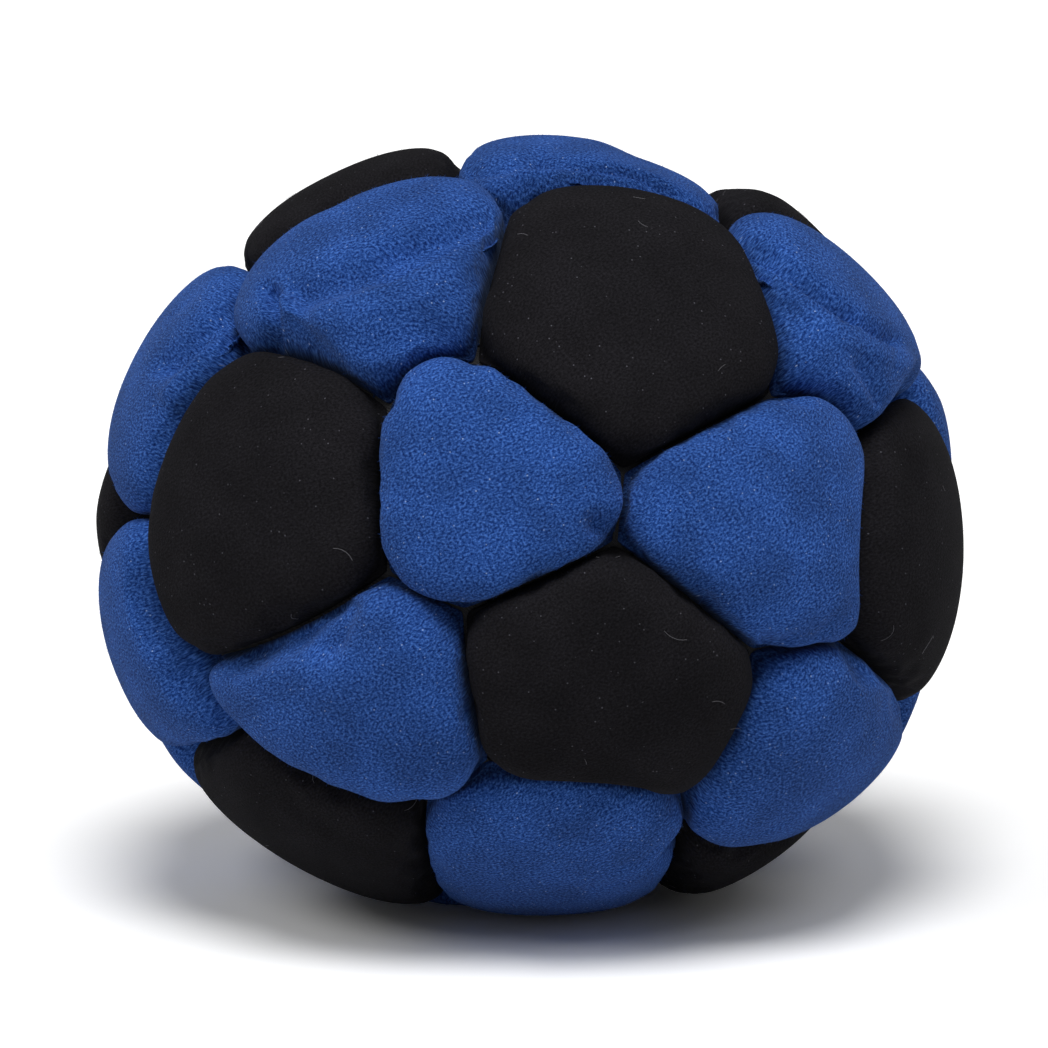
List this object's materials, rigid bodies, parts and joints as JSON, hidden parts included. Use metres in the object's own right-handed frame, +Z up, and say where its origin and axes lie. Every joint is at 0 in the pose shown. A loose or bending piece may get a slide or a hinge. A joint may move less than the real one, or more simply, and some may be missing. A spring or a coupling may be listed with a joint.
{
  "type": "footbag",
  "caption": "Slack round footbag of black five-sided and blue six-sided suede panels, sewn edge to edge inside out and filled with loose grains, lying on its flattened base.",
  "frame": {"origin": "on the ground plane, under the middle of the bag as it lies", "axes": "+Z up from the ground, +X to the right and -Y towards the viewer in the picture"},
  "size_m": [0.0541, 0.05, 0.048],
  "materials": {
    "black_suede": "fine napped microfibre suede, matte",
    "blue_suede": "fine napped microfibre suede, matte",
    "sewing_thread": "twisted polyester sewing thread",
    "filling_grains": "fine loose sand"
  },
  "bodies": {
    "root": {"black_panel_01": "black_suede", "black_panel_02": "black_suede", "black_panel_03": "black_suede", "black_panel_04": "black_suede", "black_panel_05": "black_suede", "black_panel_06": "black_suede", "black_panel_07": "black_suede", "black_panel_08": "black_suede", "black_panel_09": "black_suede", "black_panel_10": "black_suede", "black_panel_11": "black_suede", "black_panel_12": "black_suede", "blue_panel_01": "blue_suede", "blue_panel_02": "blue_suede", "blue_panel_03": "blue_suede", "blue_panel_04": "blue_suede", "blue_panel_05": "blue_suede", "blue_panel_06": "blue_suede", "blue_panel_07": "blue_suede", "blue_panel_08": "blue_suede", "blue_panel_09": "blue_suede", "blue_panel_10": "blue_suede", "blue_panel_11": "blue_suede", "blue_panel_12": "blue_suede", "blue_panel_13": "blue_suede", "blue_panel_14": "blue_suede", "blue_panel_15": "blue_suede", "blue_panel_16": "blue_suede", "blue_panel_17": "blue_suede", "blue_panel_18": "blue_suede", "blue_panel_19": "blue_suede", "blue_panel_20": "blue_suede", "seam_thread": "sewing_thread", "filling": "filling_grains"}
  },
  "joints": []
}
